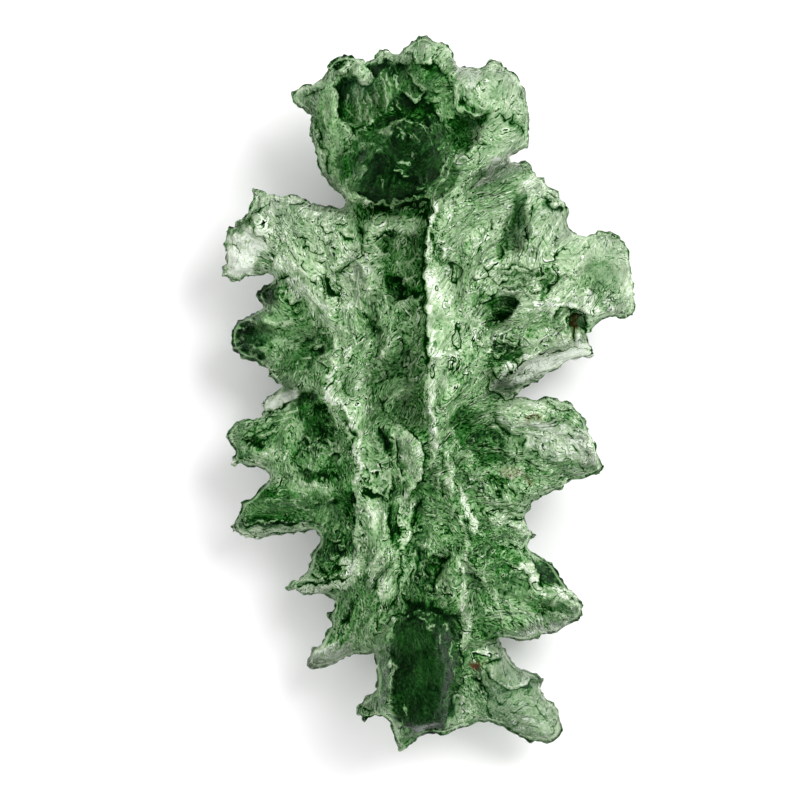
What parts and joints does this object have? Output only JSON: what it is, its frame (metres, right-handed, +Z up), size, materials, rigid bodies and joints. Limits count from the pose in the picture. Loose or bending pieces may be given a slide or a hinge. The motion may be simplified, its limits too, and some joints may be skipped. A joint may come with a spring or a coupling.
{
  "type": "moldavite",
  "caption": "Flat lump of deeply etched natural green glass with thin fins along both sides and a raised boss at each end, lying down.",
  "frame": {"origin": "middle of the stone's box, on the surface that it rests on", "axes": "+Y along the stone towards its crown, +X to the right seen from above, +Z up"},
  "size_m": [0.0262, 0.045, 0.0109],
  "materials": {
    "green_glass": "deeply etched natural glass, bottle green where it is thick and almost white at its thin rims, with a satin shine"
  },
  "bodies": {
    "root": {"moldavite": "green_glass"}
  },
  "joints": []
}
